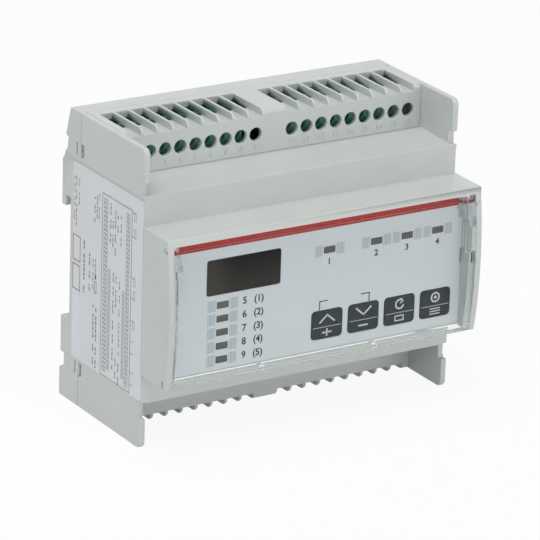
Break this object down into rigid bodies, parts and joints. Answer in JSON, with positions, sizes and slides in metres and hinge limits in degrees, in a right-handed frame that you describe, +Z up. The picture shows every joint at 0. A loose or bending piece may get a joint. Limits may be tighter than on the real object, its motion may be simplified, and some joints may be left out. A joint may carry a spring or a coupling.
{
  "type": "insulation monitoring device",
  "caption": "Rail-mounted insulation monitoring device: grey housing with screw terminals above and below, display, indicator lights, keys and a clear hinged door.",
  "frame": {"origin": "centre of the footprint on the surface the device stands on, upright as it hangs on its rail", "axes": "+X to the right as seen from the front, +Y to the rear and the mounting rail, +Z up"},
  "size_m": [0.105, 0.063, 0.09],
  "materials": {
    "housing_grey": "fine moulded texture, light grey",
    "clear_plastic": "clear polycarbonate",
    "panel_foil": "pale blue-grey foil with a red band",
    "display_lens": "smoked lens",
    "indicator_lens": "diffuse grey lens, unlit",
    "key_grey": "dark grey key with light legend",
    "black_plastic": "black moulding",
    "board_green": "solder-resist green",
    "screw_steel": "zinc-plated steel",
    "clamp_nickel": "nickel-plated clamp",
    "transformer_lacquer": "lacquered core and coil",
    "relay_plastic": "light relay case",
    "capacitor_sleeve": "dark sleeve",
    "terminal_green": "green terminal housing",
    "latch_grey": "mid-grey slide",
    "label_white": "paper-white foil"
  },
  "bodies": {
    "housing": {"rear_base": "housing_grey", "front_shell": "housing_grey", "terminal_cover_top": "housing_grey", "terminal_cover_bottom": "housing_grey", "front_panel": "panel_foil", "display_window": "display_lens", "status_windows": "indicator_lens", "measure_windows": "indicator_lens", "key_switches": "black_plastic", "display_module": "black_plastic", "status_leds": "indicator_lens", "measure_leds": "indicator_lens", "display_board": "board_green", "display_board_screws": "screw_steel", "board_header": "black_plastic", "main_board": "board_green", "main_board_screws": "screw_steel", "power_transformer": "transformer_lacquer", "alarm_relay": "relay_plastic", "filter_capacitors": "capacitor_sleeve", "microcontroller": "black_plastic", "terminal_block_top_left": "terminal_green", "terminal_block_top_right": "terminal_green", "terminal_block_bottom_left": "terminal_green", "terminal_block_bottom_right": "terminal_green", "terminal_screws_top": "screw_steel", "terminal_screws_bottom": "screw_steel", "wire_clamps_top": "clamp_nickel", "wire_clamps_bottom": "clamp_nickel", "side_label": "label_white"},
    "door": {"front_door": "clear_plastic"},
    "up_button": {"up_key": "key_grey", "up_plunger": "black_plastic"},
    "down_button": {"down_key": "key_grey", "down_plunger": "black_plastic"},
    "reset_button": {"reset_key": "key_grey", "reset_plunger": "black_plastic"},
    "test_button": {"test_key": "key_grey", "test_plunger": "black_plastic"},
    "left_latch": {"rail_latch_left": "latch_grey"},
    "right_latch": {"rail_latch_right": "latch_grey"}
  },
  "joints": [
    {"name": "door_hinge", "type": "hinge", "parent": "housing", "child": "door", "pos_m": [0, -0.0287, 0.064], "axis": [-1, 0, 0], "range_deg": [0, 95]},
    {"name": "up_key_press", "type": "slide", "parent": "housing", "child": "up_button", "axis": [0, 1, 0], "range_m": [0, 0.0004], "stiffness_N_per_m": 2500, "springref_m": -0.0003},
    {"name": "down_key_press", "type": "slide", "parent": "housing", "child": "down_button", "axis": [0, 1, 0], "range_m": [0, 0.0004], "stiffness_N_per_m": 2500, "springref_m": -0.0003},
    {"name": "reset_key_press", "type": "slide", "parent": "housing", "child": "reset_button", "axis": [0, 1, 0], "range_m": [0, 0.0004], "stiffness_N_per_m": 2500, "springref_m": -0.0003},
    {"name": "test_key_press", "type": "slide", "parent": "housing", "child": "test_button", "axis": [0, 1, 0], "range_m": [0, 0.0004], "stiffness_N_per_m": 2500, "springref_m": -0.0003},
    {"name": "left_latch_pull", "type": "slide", "parent": "housing", "child": "left_latch", "axis": [0, 0, -1], "range_m": [0, 0.004], "stiffness_N_per_m": 500, "springref_m": -0.004},
    {"name": "right_latch_pull", "type": "slide", "parent": "housing", "child": "right_latch", "axis": [0, 0, -1], "range_m": [0, 0.004], "stiffness_N_per_m": 500, "springref_m": -0.004}
  ]
}
